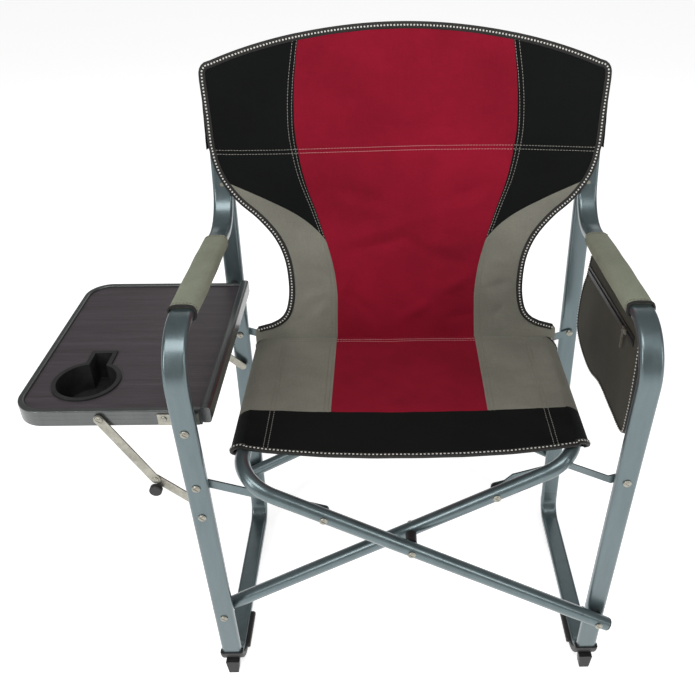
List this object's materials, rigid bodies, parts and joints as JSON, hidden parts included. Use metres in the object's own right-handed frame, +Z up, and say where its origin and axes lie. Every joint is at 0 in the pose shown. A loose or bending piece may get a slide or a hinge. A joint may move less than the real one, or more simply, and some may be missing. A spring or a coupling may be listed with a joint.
{
  "type": "director chair",
  "caption": "Folding camping director chair with scissor-folding tube frame, cloth seat and back, fold-down side table with cup holder and a zipped arm bag.",
  "frame": {"origin": "on the floor, under the middle of the chair's box, the open side table included", "axes": "+X towards the sitter's left, where the bag is, +Y from the front legs to the back, +Z up"},
  "size_m": [0.819, 0.4531, 0.9159],
  "materials": {
    "frame_tube": "satin silver-grey powder coat",
    "steel": "zinc plated",
    "black_plastic": "moulded",
    "grey_cloth": "plain-weave polyester canvas",
    "black_cloth": "plain-weave polyester canvas",
    "red_cloth": "plain-weave polyester canvas",
    "bag_cloth": "plain-weave polyester canvas",
    "laminate": "dark laminate with a fine grain"
  },
  "bodies": {
    "left_side": {"left_frame_tube": "frame_tube", "left_rear_leg": "frame_tube", "left_leg_insert": "steel", "left_leg_plug": "black_plastic", "left_top_plug": "black_plastic", "left_rivets": "steel", "left_front_foot": "black_plastic", "left_rear_foot": "black_plastic", "left_arm_pad": "grey_cloth", "left_bolts": "steel", "left_spacers": "black_plastic", "back_sling": "red_cloth"},
    "tube_b": {"tube_b": "frame_tube", "tube_b_plugs": "black_plastic", "tube_b_bolts": "steel", "cross_bolts": "steel", "cross_spacers": "black_plastic", "seat_sling": "black_cloth"},
    "tube_a": {"tube_a": "frame_tube", "tube_a_plugs": "black_plastic", "tube_a_bolts": "steel"},
    "right_side": {"right_frame_tube": "frame_tube", "right_rear_leg": "frame_tube", "right_leg_insert": "steel", "right_leg_plug": "black_plastic", "right_top_plug": "black_plastic", "right_rivets": "steel", "right_front_foot": "black_plastic", "right_rear_foot": "black_plastic", "right_arm_pad": "grey_cloth", "right_bolts": "steel", "right_spacers": "black_plastic", "bag_shell": "bag_cloth", "bag_zip": "black_plastic"},
    "left_links": {"left_front_link": "frame_tube", "left_rear_link": "frame_tube", "left_link_spacers": "black_plastic"},
    "right_links": {"right_front_link": "frame_tube", "right_rear_link": "frame_tube", "right_link_spacers": "black_plastic"},
    "table": {"table_rim": "frame_tube", "table_panel": "laminate", "table_rail": "frame_tube", "table_rail_caps": "frame_tube", "cup_holder": "black_plastic", "table_brackets": "steel", "table_rivets": "steel", "stay_top_bolts": "steel"},
    "upper_stays": {"front_upper_stay": "steel", "rear_upper_stay": "steel", "stay_knob": "black_plastic", "elbow_bolts": "steel"},
    "lower_stays": {"front_lower_stay": "steel", "rear_lower_stay": "steel"},
    "zip_slider": {"zip_slider": "steel"},
    "zip_pull": {"zip_pull": "steel"}
  },
  "joints": [
    {"name": "fold", "type": "hinge", "parent": "left_side", "child": "tube_b", "pos_m": [-0.1825, 0, 0.136], "axis": [0, -1, 0], "range_deg": [0, 44.7], "deforming": ["seat_sling", "back_sling"]},
    {"name": "middle_pivot", "type": "hinge", "parent": "tube_b", "child": "tube_a", "pos_m": [0.1025, 0, 0.29594], "axis": [0, -1, 0], "range_deg": [-89.9, 0.5]},
    {"name": "right_pivot", "type": "hinge", "parent": "tube_a", "child": "right_side", "pos_m": [0.3875, 0, 0.136], "axis": [0, -1, 0], "range_deg": [-0.5, 45.2]},
    {"name": "left_link_pivot", "type": "hinge", "parent": "left_side", "child": "left_links", "pos_m": [-0.1825, 0, 0.418], "axis": [0, -1, 0], "range_deg": [-0.5, 91.25]},
    {"name": "right_link_pivot", "type": "hinge", "parent": "right_side", "child": "right_links", "pos_m": [0.3875, 0, 0.418], "axis": [0, -1, 0], "range_deg": [-91.25, 0.5]},
    {"name": "table_fold", "type": "hinge", "parent": "left_side", "child": "table", "pos_m": [-0.1825, 0, 0.514], "axis": [0, -1, 0], "range_deg": [0, 90]},
    {"name": "upper_stay_pivot", "type": "hinge", "parent": "table", "child": "upper_stays", "pos_m": [-0.2965, 0, 0.517], "axis": [0, -1, 0], "range_deg": [-130.37, 0.5]},
    {"name": "lower_stay_pivot", "type": "hinge", "parent": "left_side", "child": "lower_stays", "pos_m": [-0.1825, 0, 0.362], "axis": [0, -1, 0], "range_deg": [-0.5, 114.1]},
    {"name": "zip_slide", "type": "slide", "parent": "right_side", "child": "zip_slider", "axis": [0, -0.9966, 0.0824], "range_m": [-0.2, 0.026]},
    {"name": "pull_swing", "type": "hinge", "parent": "zip_slider", "child": "zip_pull", "pos_m": [0.3835, -0.11113, 0.5922], "axis": [1, 0, 0], "range_deg": [-60, 60]}
  ],
  "couplings": [
    {"joint": "middle_pivot", "follows": "fold", "ratio": -2},
    {"joint": "right_pivot", "follows": "fold", "ratio": 1},
    {"joint": "left_link_pivot", "follows": "fold", "ratio": 2.0302},
    {"joint": "right_link_pivot", "follows": "fold", "ratio": -2.0302},
    {"joint": "upper_stay_pivot", "follows": "table_fold", "ratio": -1.443},
    {"joint": "lower_stay_pivot", "follows": "table_fold", "ratio": 1.2622}
  ]
}
